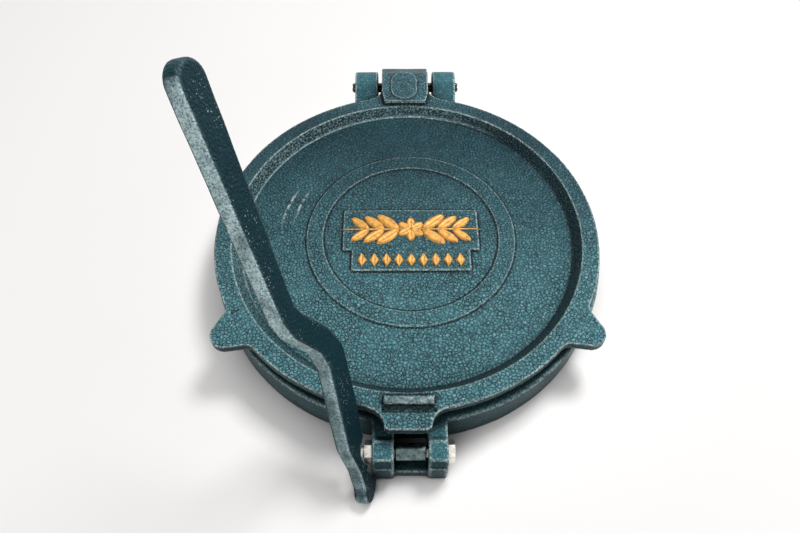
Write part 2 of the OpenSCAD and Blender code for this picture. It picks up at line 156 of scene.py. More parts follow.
class PressMetal(bpy.types.PropertyGroup):
    """Colours of the bare and plated metal."""

    iron: colour("Bare iron", "Iron of the rubbed wear pad", "#5b6664")
    iron_dark: colour("Old iron", "Stains on the wear pad", "#2b3638")
    zinc: colour("Zinc", "Zinc plate on the bolt and the nut", "#f1efe8")
    zinc_dull: colour("Dull zinc", "Clouded patches in the zinc plate", "#cfcdc6")
    roller: colour("Roller steel", "Turned steel of the roller, dark with oil", "#788c8c")
    roller_dark: colour("Oil on the roller", "Stains of old oil on the roller", "#3c484a")
    spring: colour("Spring steel", "Spring steel of the hinge pin, a little brown", "#7b7064")
    spring_dark: colour("Brown film", "Darker patches of the film on the hinge pin", "#3f372f")
    # Painted shade: the small metal parts are drawn darker where a casting is near.
    gloom: colour("Grime", "Dirt where the small metal parts meet the castings", "#14191a")
    gloom_reach: length("Grime reach", "How near a casting has to be for grime to settle", 5)


class PressSprig(bpy.types.PropertyGroup):
    """The gilded sprig on the lid's panel."""

    gold: colour("Gold paint", "Colour of the gold paint", "#c9933f")
    gold_deep: colour("Thin gold", "Gold paint where it is thin or dirty", "#9a6a2c")
    centre_x: length("Centre across", "Middle of the panel, to the right of the press's middle", 1.4)
    upper_y: length("Upper row", "Middle of the panel's upper tier, behind the press's middle", 3.5)
    lower_y: length("Lower row", "Middle of the panel's lower tier, behind the press's middle", -18)
    leaf: length("Leaf length", "Length of a leaf", 17)
    leaf_width: length("Leaf width", "Width of a leaf", 7.2)
    stem_width: length("Stem width", "Width of the stem at its thickest", 1.5)
    height: length("Height", "Height of the sprig above the panel", 1.5)
    sink: length("Sink", "How far the sprig's edges are sunk in the panel", 0.3)
    leaf_pitch: length("Leaf pitch", "Distance between pairs of leaves along the stem", 8.8)
    lozenge: length("Lozenge", "Width of a lozenge in the lower row", 6.2)
    lozenge_tall: length("Lozenge height", "Length of a lozenge from front to back", 9.5)
    lozenge_pitch: length("Lozenge pitch", "Distance between lozenges", 7)


class PressStudio(bpy.types.PropertyGroup):
    """Camera, lamps and floor."""

    lens: bpy.props.FloatProperty(
        name="Lens", description="Focal length on a 36 mm sensor", default=30.387, unit="CAMERA"
    )
    camera_at: bpy.props.FloatVectorProperty(
        name="Camera", description="Where the camera stands", default=(-0.00612, -0.23096, 0.34845), unit="LENGTH"
    )
    camera_look: bpy.props.FloatVectorProperty(
        name="Looks along",
        description="Direction of the camera's view",
        default=(0.00298, 0.54764, -0.83671),
        subtype="DIRECTION",
    )
    floor: colour("Floor", "Colour of the table top", "#f3f1f0")
    floor_unseen: colour("Floor's light", "Colour of the light that the table top throws back", "#8f9090")
    floor_size: length("Floor size", "Width of the table top", 9000)
    floor_drop: length("Floor drop", "How far below the press's underside the table top lies", 0.2)
    evenness: share("Evenness", "How far the table top is evened out in view, close to the press", 0.7)
    shadow_reach: length("Shadow reach", "How far from the middle the table top shows lamps and shadows", 330)
    contact: colour("Contact shade", "Colour of the table top in the narrow gaps under the press", "#565c5e")
    contact_reach: length("Contact reach", "How close to the press the table top takes the contact shade", 25)
    shade_reach: length("Shade reach", "How far from the press its shade keeps the table top uneven", 90)
    sky: amount("Ambient light", "Strength of the even light from all round", 0.1)
    key: amount("Key lamp", "Power of the soft lamp overhead, back and to the right", 9, unit="POWER")
    fill: amount("Fill lamp", "Power of the wide lamp to the front and left", 4, unit="POWER")
    side: amount("Side lamp", "Power of the low lamp on the right", 3, unit="POWER")


# ------------------------------------------------------------------- materials


def add(tree, kind, inputs=None, **fields):
    """Adds a shader node, sets its fields, then sets or links its sockets, given by name or number."""
    node = tree.nodes.new("ShaderNode" + kind)
    for field, value in fields.items():
        setattr(node, field, value)
    for key, value in (inputs or {}).items():
        if isinstance(value, bpy.types.NodeSocket):
            tree.links.new(value, node.inputs[key])
        else:
            node.inputs[key].default_value = value
    return node


def blank(name):
    """A new material, its node tree and its surface shader."""
    material = bpy.data.materials.new(name)
    material.use_nodes = True
    return material, material.node_tree, material.node_tree.nodes["Principled BSDF"]


def patches(tree, place, size, low, high, detail=2.0, roughness=0.5):
    """An irregular mask from noise about size metres across, between two stops given as (noise, mask)."""
    spots = {"Vector": place, "Scale": 1 / size, "Detail": detail, "Roughness": roughness}
    level = add(tree, "TexNoise", spots).outputs[0]
    return add(tree, "MapRange", {0: level, 1: low[0], 2: high[0], 3: low[1], 4: high[1]}).outputs[0]


def overlap(tree, first, *others):
    """A mask of where all the masks lie, each between 0 and 1."""
    for other in others:
        first = add(tree, "Math", {0: first, 1: other}, operation="MULTIPLY", use_clamp=True).outputs[0]
    return first


def coated(tree, under, *coats):
    """A colour with coats laid over it in turn, each given as its mask and its colour."""
    for mask, over in coats:
        under = add(tree, "Mix", {0: mask, 6: under, 7: over}, data_type="RGBA").outputs[2]
    return under


def distance(tree, value, middle):
    """How far a value lies from a middle, either way."""
    offset = add(tree, "Math", {0: value, 1: middle}, operation="SUBTRACT").outputs[0]
    return add(tree, "Math", {0: offset}, operation="ABSOLUTE").outputs[0]


def in_view(tree):
    """1 where the camera looks, straight or by way of a reflection or glass, and 0 elsewhere."""
    rays = add(tree, "LightPath").outputs
    seen = add(tree, "Math", {0: rays["Is Camera Ray"], 1: rays["Is Glossy Ray"]}, operation="MAXIMUM").outputs[0]
    return add(tree, "Math", {0: seen, 1: rays["Is Transmission Ray"]}, operation="MAXIMUM").outputs[0]


def turned(tree):
    """How far the surface faces along each of the piece's own axes, from 0 to 1 either way."""
    facing = add(tree, "SeparateXYZ", {0: add(tree, "TexCoord").outputs["Normal"]}).outputs
    return [add(tree, "Math", {0: side}, operation="ABSOLUTE").outputs[0] for side in facing]


def enamel_skin(tree, props, crackle):
    """Colour, roughness and normal sockets of enamel brushed over a sand casting, more or less crackled, with
    painted shade and painted highlights.
    """
    place = add(tree, "TexCoord").outputs["Object"]
    # Cells of crackled enamel, bent by noise so that no line between them runs straight, each with a tint of its
    # own.
    wobble = add(tree, "TexNoise", {"Vector": place, "Scale": 1 / (1.4 * props.cell_size)}).outputs[1]
    sockets = {0: 0.5 * props.cell_size, 4: place, 5: wobble}
    bent = add(tree, "Mix", sockets, data_type="VECTOR", clamp_factor=False).outputs[1]
    cell = {"Vector": bent, "Scale": 1 / props.cell_size}
    from_crack = add(tree, "TexVoronoi", cell, feature="DISTANCE_TO_EDGE").outputs[0]
    tint = add(tree, "SeparateColor", {0: add(tree, "TexVoronoi", cell).outputs[1]}).outputs[0]
    crowns = add(tree, "MapRange", {0: from_crack, 1: 0.0, 2: 0.3}).outputs[0]
    lines = add(tree, "MapRange", {0: from_crack, 1: 0.03, 2: 0.15, 3: 1.0, 4: 0.0}).outputs[0]
    faint = patches(tree, place, 6 * props.cell_size, (0.34, 0.6), (0.56, 1.0), 4.0, 0.6)
    cracks = overlap(tree, lines, faint, crackle)
    # Sand grain shows through: a grain is about 0.3 mm across and is drawn coarser, since it is too fine to show.
    sand = add(tree, "TexNoise", {"Vector": place, "Scale": 1 / props.grain_size}).outputs[0]
    lift = add(tree, "MapRange", {0: sand, 1: 0.36, 2: 0.64}).outputs[0]
    shade = add(tree, "Math", {0: tint, 1: 0.3, 2: 0.25}, operation="MULTIPLY_ADD").outputs[0]
    shade = add(tree, "Math", {0: lift, 1: 0.35, 2: shade}, operation="MULTIPLY_ADD").outputs[0]
    # Painted shade darkens the enamel towards the hinge; it is also darker on the nose and in slow drifts.
    back = add(tree, "SeparateXYZ", {0: place}).outputs[1]
    dip = add(tree, "MapRange", {0: back, 1: DARKENS_Y[0], 2: DARKENS_Y[1], 4: props.shaded}).outputs[0]
    rear = add(tree, "MapRange", {0: back, 1: LIGHTENS_Y[0], 2: LIGHTENS_Y[1], 3: 1.0, 4: 0.45}).outputs[0]
    behind = overlap(tree, dip, rear)
    nose = add(tree, "MapRange", {0: back, 1: NOSE_Y[0], 2: NOSE_Y[1], 4: 0.3}).outputs[0]
    dusky = add(tree, "Math", {0: behind, 1: nose}, operation="ADD").outputs[0]
    drift = patches(tree, place, 16 * props.cell_size, (0.4, 0.0), (0.7, 0.15), 3.0)
    dusky = add(tree, "Math", {0: dusky, 1: drift}, operation="ADD", use_clamp=True).outputs[0]
    bloom = patches(tree, place, 6 * props.cell_size, (0.62, 0.0), (0.76, 0.15), 5.0, 0.75)
    # Painted highlights: glints on the crowns, finer than a grain of sand, drawn 0.8 mm wide so that they show.
    ahead = add(tree, "Math", {0: 1.0, 1: behind}, operation="SUBTRACT").outputs[0]
    painted_glints = overlap(tree, patches(tree, place, 0.8 * MM, (0.58, 0.0), (0.66, 0.6)), crowns, ahead)
    # Painted shade darkens steep sides, hollows and nooks, and outward corners are pale, partly rubbed wear and
    # partly painted highlight.
    painted_shade_steep = add(tree, "MapRange", {0: turned(tree)[2], 1: 0.35, 2: 0.92, 3: 0.7, 4: 0.0}).outputs[0]
    bend = add(tree, "NewGeometry").outputs["Pointiness"]
    corners = add(tree, "MapRange", {0: bend, 1: CORNER[0], 2: CORNER[1]}).outputs[0]
    worn = add(tree, "MapRange", {0: sand, 1: 0.42, 2: 0.6, 3: 0.16, 4: 0.8}).outputs[0]
    hollow = add(tree, "MapRange", {0: bend, 1: HOLLOW[0], 2: HOLLOW[1], 3: 0.95, 4: 0.0}).outputs[0]
    open_air = add(tree, "AmbientOcclusion", {"Distance": props.nook}, samples=8).outputs["AO"]
    nook = add(tree, "MapRange", {0: open_air, 1: 0.55, 2: 0.96, 3: 0.9, 4: 0.0}).outputs[0]
    base = coated(
        tree,
        props.pooled_and_shade,
        (shade, props.body),
        (dusky, props.pooled_and_shade),
        (bloom, props.rust),
        (painted_glints, props.dust_and_sheen),
        (cracks, props.crack_and_shade),
        (painted_shade_steep, props.crack_and_shade),
        (overlap(tree, corners, worn), props.dust_and_sheen),
        (hollow, props.crack_and_shade),
        (nook, props.crack_and_shade),
    )
    rough = add(tree, "Math", {0: sand, 1: 0.3, 2: props.roughness - 0.15}, operation="MULTIPLY_ADD").outputs[0]
    cell_depth = props.cell_depth * (0.2 + 0.8 * crackle)
    normal = add(tree, "Bump", {"Height": crowns, "Distance": cell_depth}).outputs[0]
    normal = add(tree, "Bump", {"Height": lift, "Distance": props.grain_depth, "Normal": normal}).outputs[0]
    return base, rough, normal


def brushed_enamel(props, crackle, shine):
    """Enamel, brushed onto rough castings and crackled as it dried: a dull teal with dark lines round its cells."""
    material, tree, shader = blank("teal_enamel_brushed_on_casting")
    base, rough, normal = enamel_skin(tree, props, crackle)
    for socket, value in (("Base Color", base), ("Roughness", rough), ("Normal", normal)):
        tree.links.new(value, shader.inputs[socket])
    shader.inputs["Specular IOR Level"].default_value = shine
    return material


def lever_enamel(props):
    """The same enamel on the lever: dark with painted shade on the broad sides, and a pale, pitted film on the edges
    that is partly rubbed wear and partly painted highlight.
    """
    material = brushed_enamel(props, 0.25, 0.3 * props.shine)
    material.name = "teal_enamel_worn_and_shaded"
    tree = material.node_tree
    shader = tree.nodes["Principled BSDF"]
    place = add(tree, "TexCoord").outputs["Object"]
    height = add(tree, "SeparateXYZ", {0: place}).outputs[2]
    full = shader.inputs["Base Color"].links[0].from_socket
    # The broad sides: darkened with painted shade, darker still towards the foot, with a few pale flecks.
    speck = add(tree, "TexVoronoi", {"Vector": place, "Scale": 1 / (1.3 * MM)}).outputs[0]
    speck = add(tree, "MapRange", {0: speck, 1: 0.12, 2: 0.22, 3: 1.0, 4: 0.0}).outputs[0]
    flecks = overlap(tree, speck, patches(tree, place, 9 * MM, (0.5, 0.0), (0.62, 0.8), 3.0))
    murk = add(tree, "MapRange", {0: height, 1: LEVER_FOOT_Z[0], 2: LEVER_FOOT_Z[1], 3: 0.8, 4: 0.5}).outputs[0]
    side = coated(tree, full, (0.65, props.pooled_and_shade), (murk, props.crack_and_shade), (flecks, props.dust_and_sheen))
    # The narrow edges: a pale, pitted film, partly wear and partly painted highlight, in smears that fade towards
    # the foot.
    pits = patches(tree, place, 0.8 * MM, (0.38, 0.1), (0.54, 1.0), 4.0, 0.7)
    film = coated(tree, props.pooled_and_shade, (0.5, props.body), (pits, props.rubbed))
    smear = patches(tree, place, 10 * MM, (0.34, 0.35), (0.58, 1.0), 4.0, 0.65)
    film_rise = add(tree, "MapRange", {0: height, 1: LEVER_FILM_Z[0], 2: LEVER_FILM_Z[1], 3: 0.45, 4: 1.0}).outputs[0]
    edge = coated(tree, full, (overlap(tree, smear, film_rise), film))
    across, along, _up = turned(tree)
    narrow = overlap(
        tree,
        add(tree, "MapRange", {0: along, 1: 0.5, 2: 0.85}).outputs[0],
        add(tree, "MapRange", {0: across, 1: 0.45, 2: 0.7, 3: 1.0, 4: 0.0}).outputs[0],
    )
    # Pale specks along the sharpest corners.
    bend = add(tree, "NewGeometry").outputs["Pointiness"]
    sharpest = add(tree, "MapRange", {0: bend, 1: SHARP_CORNER[0], 2: SHARP_CORNER[1]}).outputs[0]
    corner_specks = overlap(tree, sharpest, patches(tree, place, 2.5 * MM, (0.5, 0.0), (0.58, 0.7), 4.0, 0.7))
    tree.links.new(coated(tree, side, (narrow, edge), (corner_specks, props.rubbed)), shader.inputs["Base Color"])
    return material


def mould_marks(tree, place):
    """A mask of short arcs on the dish's floor, left of the ring and behind it, that a worn mould left."""
    sockets = {0: place, 1: (1.0, 1.0, 0.0), 2: (-RING_CENTRE_X, 0.0, 0.0)}
    flat = add(tree, "VectorMath", sockets, operation="MULTIPLY_ADD").outputs[0]
    radius = add(tree, "VectorMath", {0: flat}, operation="LENGTH").outputs["Value"]
    near, far = (distance(tree, radius, at) for at in MARK_RADII)
    nearest = add(tree, "Math", {0: near, 1: far}, operation="MINIMUM").outputs[0]
    arcs = add(tree, "MapRange", {0: nearest, 1: 0.3 * MM, 2: 1.0 * MM, 3: 1.0, 4: 0.0}).outputs[0]
    x, y, z = add(tree, "SeparateXYZ", {0: place}).outputs
    fades = (
        (x, -56 * MM, -50 * MM, 1.0, 0.0),  # gone to the right
        (y, 8 * MM, 16 * MM, 0.0, 1.0),  # gone in front
        (y, 28 * MM, 36 * MM, 1.0, 0.0),  # gone behind
        (z, 26 * MM, 27 * MM, 0.0, 1.0),  # gone on the lid's underside
    )
    fades = [add(tree, "MapRange", dict(enumerate(fade))).outputs[0] for fade in fades]
    return overlap(tree, arcs, *fades, patches(tree, place, 2 * MM, (0.42, 0.0), (0.56, 0.8), 4.0, 0.7))


def wall_highlight(tree, place):
    """A mask of painted highlight on the dish's wall, behind and left: a broken bright line along its foot, and pale
    pits above it.
    """
    flat = add(tree, "VectorMath", {0: place, 1: (1.0, 1.0, 0.0)}, operation="MULTIPLY").outputs[0]
    radius = add(tree, "VectorMath", {0: flat}, operation="LENGTH").outputs["Value"]
    toward = add(tree, "VectorMath", {0: flat, 1: BACK_LEFT}, operation="DOT_PRODUCT").outputs["Value"]
    start, end = WALL_FOOT + 0.8 * MM, WALL_FOOT + 1.6 * MM
    foot = add(tree, "MapRange", {0: radius, 1: start, 2: end, 3: 0.8, 4: 0.0}).outputs[0]
    foot = overlap(tree, foot, patches(tree, place, 2.5 * MM, (0.38, 0.35), (0.58, 1.0), 4.0, 0.7))
    pits = patches(tree, place, 1.2 * MM, (0.5, 0.0), (0.58, 0.4), 3.0, 0.6)
    return overlap(
        tree,
        add(tree, "Math", {0: foot, 1: pits}, operation="MAXIMUM").outputs[0],
        add(tree, "MapRange", {0: toward, 1: 0.1, 2: 0.5}).outputs[0],
        add(tree, "MapRange", {0: radius, 1: WALL_FOOT, 2: WALL_FOOT + 0.5 * MM}).outputs[0],
        add(tree, "MapRange", {0: radius, 1: WALL_CREST, 2: WALL_CREST + 0.5 * MM, 3: 1.0, 4: 0.0}).outputs[0],
    )


def rubbed_pad(tree, place):
    """A mask of the wear pad's bare iron: a box with frayed sides and remains of enamel in it."""
    frayed = patches(tree, place, 3.2 * MM, (0.36, 0.0), (0.62, 1.0), 4.0, 0.7)
    inside = [patches(tree, place, 3 * MM, (0.42, 0.1), (0.5, 1.0), 5.0, 0.75)]
    places = add(tree, "SeparateXYZ", {0: place}).outputs
    for at, low, high, fray in zip(places, PAD_LOW, PAD_HIGH, PAD_FRAY):
        sockets = {0: frayed, 1: 2 * fray, 2: (high - low) / 2 - fray}
        reach = add(tree, "Math", sockets, operation="MULTIPLY_ADD").outputs[0]
        away = distance(tree, at, (low + high) / 2)
        inside.append(add(tree, "Math", {0: away, 1: reach}, operation="LESS_THAN").outputs[0])
    return overlap(tree, *inside)


def worn_enamel(props, metal):
    """The same enamel on the lid: mould marks, a painted highlight on the dish's wall, painted shade on sides that
    face away from the front right, and its wear pad rubbed down to bare grey iron.
    """
    material = brushed_enamel(props, 0.9, props.shine)
    material.name = "teal_enamel_rubbed_to_iron"
    tree = material.node_tree
    shader = tree.nodes["Principled BSDF"]
    coordinates = add(tree, "TexCoord").outputs
    place = coordinates["Object"]
    sockets = {0: coordinates["Normal"], 1: FRONT_RIGHT}
    leaning = add(tree, "VectorMath", sockets, operation="DOT_PRODUCT").outputs["Value"]
    # Mould marks, then a painted highlight on the dish's wall, then painted shade on sides that face away from the
    # front right.
    enamel = coated(
        tree,
        shader.inputs["Base Color"].links[0].from_socket,
        (mould_marks(tree, place), props.dust_and_sheen),
        (wall_highlight(tree, place), coated(tree, props.dust_and_sheen, (0.4, props.body))),
        (add(tree, "MapRange", {0: leaning, 1: -0.1, 2: -0.5, 3: 0.0, 4: 0.7}).outputs[0], props.crack_and_shade),
    )
    tree.links.new(enamel, shader.inputs["Base Color"])
    stains = patches(tree, place, 2.6 * MM, (0.4, 0.0), (0.66, 1.0), 5.0, 0.7)
    filed = add(tree, "TexNoise", {"Vector": place, "Scale": 1 / (1.2 * MM), "Detail": 4.0}).outputs[0]
    iron = {
        "Base Color": coated(tree, metal.iron_dark, (stains, metal.iron)),
        "Normal": add(tree, "Bump", {"Height": filed, "Distance": 0.12 * MM}).outputs[0],
        "Metallic": 1.0,
        "Roughness": 0.42,
    }
    bare = add(tree, "BsdfPrincipled", iron).outputs[0]
    both = add(tree, "MixShader", {0: rubbed_pad(tree, place), 1: shader.outputs[0], 2: bare})
    tree.links.new(both.outputs[0], tree.nodes["Material Output"].inputs["Surface"])
    return material


def plain_metal(name, metal, light, dark, roughness, cloud, mark):
    """A metal with cloudy stains, painted shade where a casting is near, and fine marks that run round the x axis.
    """
    squeeze = 14.0  # how much longer a mark is round the axis than along it
    coarser = 8  # the marks are too fine to show, so they are drawn this much coarser
    material, tree, shader = blank(name)
    place = add(tree, "TexCoord").outputs["Object"]
    squeezed = add(tree, "Mapping", {0: place, 3: (squeeze, 1.0, 1.0)}).outputs[0]
    spots = {"Vector": squeezed, "Scale": 1 / (coarser * mark), "Detail": 4.0, "Roughness": 0.7}
    lines = add(tree, "TexNoise", spots).outputs[0]
    clouds = patches(tree, place, cloud, (0.35, 0.0), (0.68, 1.0), 4.0, 0.6)
    # Painted shade where a casting is near.
    open_air = add(tree, "AmbientOcclusion", {"Distance": metal.gloom_reach}, samples=8).outputs["AO"]
    gloom = add(tree, "MapRange", {0: open_air, 1: 0.25, 2: 0.6, 3: 0.9, 4: 0.0}).outputs[0]
    rough = add(tree, "Math", {0: lines, 1: 0.3, 2: roughness - 0.15}, operation="MULTIPLY_ADD").outputs[0]
    tree.links.new(coated(tree, dark, (clouds, light), (gloom, metal.gloom)), shader.inputs["Base Color"])
    tree.links.new(rough, shader.inputs["Roughness"])
    tree.links.new(add(tree, "Bump", {"Height": lines, "Distance": 0.02 * MM}).outputs[0], shader.inputs["Normal"])
    shader.inputs["Metallic"].default_value = 1.0
    return material


def zinc_plate(metal):
    """Bright zinc plate on drawn steel: nearly white, with dull clouds."""
    return plain_metal("zinc_plate_on_steel", metal, metal.zinc, metal.zinc_dull, 0.34, 2.5 * MM, 0.15 * MM)


def turned_steel(metal):
    """Bare steel, turned and dark with oil: one long highlight broken by the tool's rings."""
    return plain_metal("turned_steel_oiled", metal, metal.roller, metal.roller_dark, 0.36, 3 * MM, 0.2 * MM)


def spring_steel(metal):
    """Rolled spring steel with a thin brown film: a soft, warm grey highlight."""
    return plain_metal("spring_steel_rolled", metal, metal.spring, metal.spring_dark, 0.4, 3 * MM, 0.2 * MM)


def gold_paint(sprig):
    """Gold bronze paint, brushed by hand on the raised sprig: warm, half metallic, thin at its edges."""
    material, tree, shader = blank("gold_paint_brushed")
    place = add(tree, "TexCoord").outputs["Object"]
    full = patches(tree, place, 2.2 * MM, (0.34, 0.0), (0.56, 1.0), 4.0, 0.65)
    strokes = add(tree, "TexNoise", {"Vector": place, "Scale": 1 / (0.8 * MM), "Detail": 3.0}).outputs[0]
    tree.links.new(coated(tree, sprig.gold_deep, (full, sprig.gold)), shader.inputs["Base Color"])
    tree.links.new(add(tree, "Bump", {"Height": strokes, "Distance": 0.12 * MM}).outputs[0], shader.inputs["Normal"])
    shader.inputs["Metallic"].default_value = 0.25
    shader.inputs["Roughness"].default_value = 0.5
    return material


# --------------------------------------------------------------------- meshes


def piece(name, mesh, material, body, *nodes):
    """Puts a mesh in the scene as a painted piece that rides a body and may stand for CAD nodes."""
    mesh.name = name
    mesh.materials.clear()
    mesh.materials.append(material)
    thing = bpy.data.objects.new(name, mesh)
    bpy.context.scene.collection.objects.link(thing)
    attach(thing, body)
    if nodes:
        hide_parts(*nodes)


def clean_copy(node):
    """A closed copy of a CAD node's mesh, its split corners joined."""
    form = bmesh.new()
    form.from_mesh(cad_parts[node].data)
    bmesh.ops.remove_doubles(form, verts=form.verts, dist=WELD)
    mesh = bpy.data.meshes.new(node + "_copy")
    form.to_mesh(mesh)
    form.free()
    return mesh


def evaluated(mesh, *modifiers):
    """The mesh after modifiers, each given as its type and its fields."""
    holder = bpy.data.objects.new("holder", mesh)
    bpy.context.scene.collection.objects.link(holder)
    for kind, fields in modifiers:
        modifier = holder.modifiers.new(kind, kind)
        for field, value in fields.items():
            setattr(modifier, field, value)
    graph = bpy.context.evaluated_depsgraph_get()
    made = bpy.data.meshes.new_from_object(holder.evaluated_get(graph))
    bpy.data.objects.remove(holder)
    return made


def cast_skin(mesh, casting):
    """Moves each point out or in along its normal, as a sand mould leaves it."""
    swell, lump = 1 / casting.swell_size, 1 / casting.lump_size
    moves = []
    for vertex in mesh.vertices:
        swollen = noise.noise(vertex.co * swell) * casting.swell_height
        lumpy = noise.noise(vertex.co * lump) * casting.lump_height
        moves.append(vertex.normal * (swollen + lumpy))
    for vertex, move in zip(mesh.vertices, moves):
        vertex.co += move


def casting_mesh(node, grid, casting):
    """A CAD node's shape as a rounded, slightly uneven casting that stays inside the node's own box."""
    size = grid
    mesh = evaluated(
        clean_copy(node),
        ("REMESH", {"mode": "VOXEL", "voxel_size": size}),
        ("SMOOTH", {"factor": 0.5, "iterations": casting.soften_steps}),
    )
    cast_skin(mesh, casting)
    low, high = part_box(node)
    for vertex in mesh.vertices:
        vertex.co = [min(max(vertex.co[i], low[i]), high[i]) for i in range(3)]
    mesh.shade_smooth()
    return mesh


def leaf(form, root, angle, leaf_length, width, sprig, lozenge=False, flatness=1.0):
    """Adds one crowned leaf with a shallow vein, or a lozenge, from its root along an angle in the panel's plane."""
    steps, lanes = 16, 8
    sharpest = 0.03 * MM  # half the width of a tip
    vein_depth, vein_width = 0.35, 0.22  # shares of the leaf's height and of its half width
    along = Vector((math.cos(angle), math.sin(angle), 0))
    across = Vector((-along.y, along.x, 0))
    rows, under = [], []
    for i in range(steps + 1):
        t = i / steps
        outline = 1 - abs(2 * t - 1) if lozenge else math.sin(math.pi * t) ** 0.6
        half = max(0.5 * width * outline, sharpest)
        blunt = min(1.0, 3.2 * math.sin(math.pi * t))
        row, floor = [], []
        for j in range(lanes + 1):
            s = 2 * j / lanes - 1
            crown = (1 - s**4) * (1 - vein_depth * math.exp(-((s / vein_width) ** 2)))
            spot = root + along * (t * leaf_length) + across * (s * half)
            rise = sprig.height * flatness * crown * blunt - sprig.sink
            row.append(form.verts.new(spot + Vector((0, 0, rise))))
            floor.append(form.verts.new(spot - Vector((0, 0, 2 * sprig.sink))))
        rows.append(row)
        under.append(floor)
    for i in range(steps):
        for j in range(lanes):
            form.faces.new((rows[i][j], rows[i + 1][j], rows[i + 1][j + 1], rows[i][j + 1]))
            form.faces.new((under[i][j], under[i][j + 1], under[i + 1][j + 1], under[i + 1][j]))
        form.faces.new((rows[i][0], under[i][0], under[i + 1][0], rows[i + 1][0]))
        form.faces.new((rows[i][lanes], rows[i + 1][lanes], under[i + 1][lanes], under[i][lanes]))
    for j in range(lanes):
        form.faces.new((rows[0][j], rows[0][j + 1], under[0][j + 1], under[0][j]))
        form.faces.new((rows[steps][j], under[steps][j], under[steps][j + 1], rows[steps][j + 1]))


# ------------------------------------------------------------------- operators


class PRESS_OT_stage(bpy.types.Operator):
    """Lays the pale table top and sets the lamps, the surroundings and the camera"""

    bl_idname = "press.stage"
    bl_label = "Stage"

    def execute(self, context):
        studio = context.scene.press_studio
        self.floor(studio)
        self.world(context.scene, studio)
        # Each lamp's name, place and width in metres, and power.
        self.lamp("key_lamp", (0.26, 0.27, 0.78), 0.25, studio.key)
        self.lamp("fill_lamp", (-0.5, -0.8, 0.4), 0.6, studio.fill)
        self.lamp("side_lamp", (0.9, -0.3, 0.35), 0.4, studio.side)
        camera = bpy.data.objects.new("camera", bpy.data.cameras.new("camera"))
        context.scene.collection.objects.link(camera)
        camera.data.lens = studio.lens
        camera.data.sensor_width = 36  # in millimetres
        camera.data.clip_start = 10 * MM
        camera.location = studio.camera_at
        camera.rotation_euler = Vector(studio.camera_look).to_track_quat("-Z", "Y").to_euler()
        context.scene.camera = camera
        context.scene.view_settings.view_transform = "Standard"
        return {"FINISHED"}

    @staticmethod
    def floor(studio):
        """A plain matt table top, evened out in view, that keeps the press's shadow, with painted shade in the
        narrow gaps under the press.
        """
        material, tree, shader = blank("matt_laminate_table")
        seen = in_view(tree)
        # Painted shade: the table top is drawn darker in the narrow gaps under the press.
        close = add(tree, "AmbientOcclusion", {"Distance": studio.contact_reach}).outputs["AO"]
        close = add(tree, "MapRange", {0: close, 1: 0.25, 2: 0.85, 3: 0.85, 4: 0.0}).outputs[0]
        coats = (seen, studio.floor), (overlap(tree, close, seen), studio.contact)
        tree.links.new(coated(tree, studio.floor_unseen, *coats), shader.inputs["Base Color"])
        shader.inputs["Roughness"].default_value = 0.8
        even = add(tree, "Emission", {0: studio.floor, 1: 1.0}).outputs[0]
        open_air = add(tree, "AmbientOcclusion", {"Distance": studio.shade_reach}).outputs["AO"]
        open_air = add(tree, "MapRange", {0: open_air, 1: 0.35, 2: 1.0}).outputs[0]
        place = add(tree, "TexCoord").outputs["Object"]
        away = add(tree, "VectorMath", {0: place}, operation="LENGTH").outputs["Value"]
        reach = {0: away, 1: studio.shadow_reach, 2: 3 * studio.shadow_reach, 3: studio.evenness, 4: 1.0}
        evened = overlap(tree, seen, add(tree, "MapRange", reach).outputs[0], open_air)
        both = add(tree, "MixShader", {0: evened, 1: shader.outputs[0], 2: even})
        tree.links.new(both.outputs[0], tree.nodes["Material Output"].inputs["Surface"])
        half, low = studio.floor_size / 2, -studio.floor_drop
        mesh = bpy.data.meshes.new("table_top")
        corners = [(-half, -half, low), (half, -half, low), (half, half, low), (-half, half, low)]
        mesh.from_pydata(corners, [], [(0, 1, 2, 3)])
        mesh.materials.append(material)
        table = bpy.data.objects.new("table_top", mesh)
        bpy.context.scene.collection.objects.link(table)

    @staticmethod
    def world(scene, studio):
        """Even light from all round, and surroundings as pale as the table top in view and in reflections."""
        cool_white = (0.93, 0.97, 1.0, 1.0)
        world = bpy.data.worlds.new("white_room")
        scene.world = world
        world.use_nodes = True
        tree = world.node_tree
        dim = add(tree, "Background", {0: cool_white, 1: studio.sky}).outputs[0]
        pale = add(tree, "Background", {0: studio.floor, 1: 1.0}).outputs[0]
        both = add(tree, "MixShader", {0: in_view(tree), 1: dim, 2: pale})
        tree.links.new(both.outputs[0], tree.nodes["World Output"].inputs[0])

    @staticmethod
    def lamp(name, place, size, power):
        """A square area lamp turned towards the press."""
        data = bpy.data.lights.new(name, "AREA")
        data.size = size
        data.energy = power
        thing = bpy.data.objects.new(name, data)
        thing.visible_camera = False
        thing.location = place
        thing.rotation_euler = (-Vector(place)).to_track_quat("-Z", "Y").to_euler()
        bpy.context.scene.collection.objects.link(thing)


class PRESS_OT_base_casting(bpy.types.Operator):
    """Casts the base plate with its clevis and hinge ears, and brushes enamel on it"""

    bl_idname = "press.base_casting"
    bl_label = "Base casting"

    def execute(self, context):
        casting, enamel = context.scene.press_casting, context.scene.press_enamel
        mesh = casting_mesh("base_plate", casting.plate_grid, casting)
        piece("base_casting", mesh, brushed_enamel(enamel, 0.2, 0.4 * enamel.shine), "root", "base_plate")
        return {"FINISHED"}


